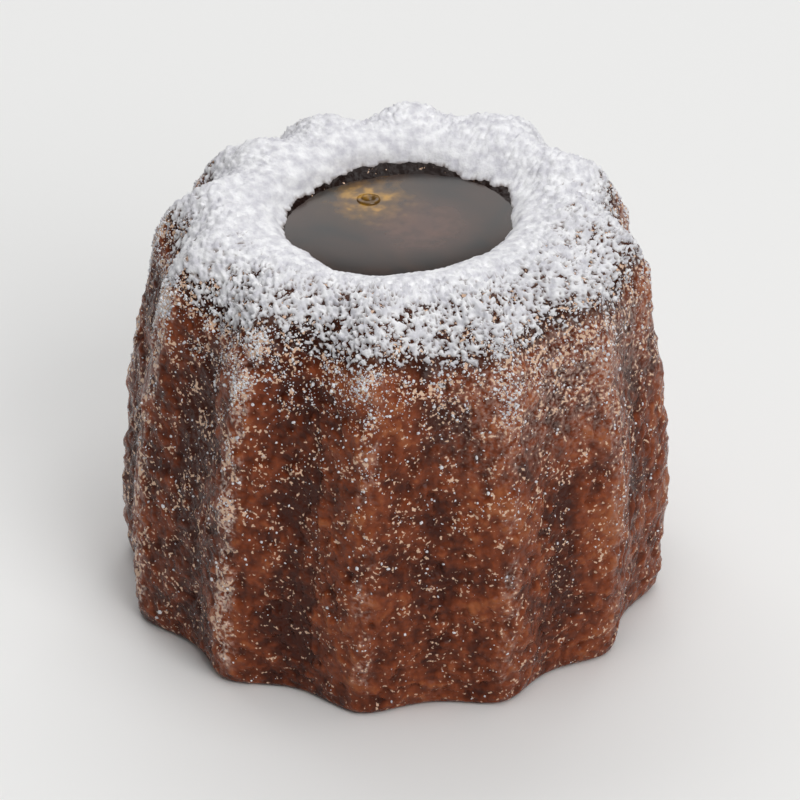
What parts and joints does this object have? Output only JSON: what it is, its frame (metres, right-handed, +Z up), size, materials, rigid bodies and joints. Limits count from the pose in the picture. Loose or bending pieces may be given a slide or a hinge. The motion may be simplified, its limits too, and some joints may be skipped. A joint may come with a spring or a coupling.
{
  "type": "canele pastry",
  "caption": "Small fluted pastry with a dark caramelised crust, a dimpled crown filled with caramel, and a dusting of icing sugar; stands on its base.",
  "frame": {"origin": "on the table, under the middle of the pastry's box", "axes": "+Z up through the dimple of the crown; the side that the picture shows faces -Y, with +X to its right"},
  "size_m": [0.0552, 0.0558, 0.0446],
  "materials": {
    "crust": "caramelised pastry crust, dark and satin, paler where thin",
    "caramel": "liquid caramel, level and glossy",
    "icing_sugar": "sifted powder, matt and loose"
  },
  "bodies": {
    "root": {"canele": "crust", "caramel_pool": "caramel", "icing_sugar": "icing_sugar"}
  },
  "joints": []
}
